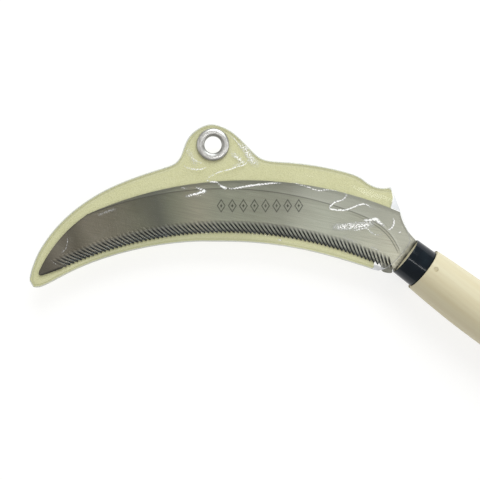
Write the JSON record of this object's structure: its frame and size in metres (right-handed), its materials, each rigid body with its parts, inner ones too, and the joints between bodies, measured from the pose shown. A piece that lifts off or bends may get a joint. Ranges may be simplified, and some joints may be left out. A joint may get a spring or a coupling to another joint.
{
  "type": "hand sickle",
  "caption": "Curved saw-toothed sickle blade on a short wooden handle, with a pull-off vinyl sheath that has an eyelet to hang it by.",
  "frame": {"origin": "under the middle of the object's box, on the plane that the handle's swell touches", "axes": "+X along the handle, from the ferrule to the butt; +Z square to the blade, on the side of its ground face; +Y towards the blade's back at the heel"},
  "size_m": [0.3166, 0.1656, 0.03],
  "materials": {
    "blade_steel": "ground stainless sheet, satin",
    "handle_wood": "plain white wood, sanded",
    "ferrule_plastic": "glossy black",
    "pin_steel": "dull, slightly rusted",
    "sheath_vinyl": "grained cream vinyl",
    "sheath_film": "clear glossy vinyl film",
    "eyelet_metal": "bright nickel plate"
  },
  "bodies": {
    "sickle": {"blade": "blade_steel", "handle": "handle_wood", "ferrule": "ferrule_plastic", "tang_pin": "pin_steel"},
    "sheath": {"sheath_back": "sheath_vinyl", "sheath_front": "sheath_film", "eyelet": "eyelet_metal", "eyelet_washer": "eyelet_metal"}
  },
  "joints": [
    {"name": "sheath_pull", "type": "hinge", "parent": "sickle", "child": "sheath", "pos_m": [0.04965, -0.1663, 0.015], "axis": [0, 0, 1], "range_deg": [0, 56]}
  ]
}
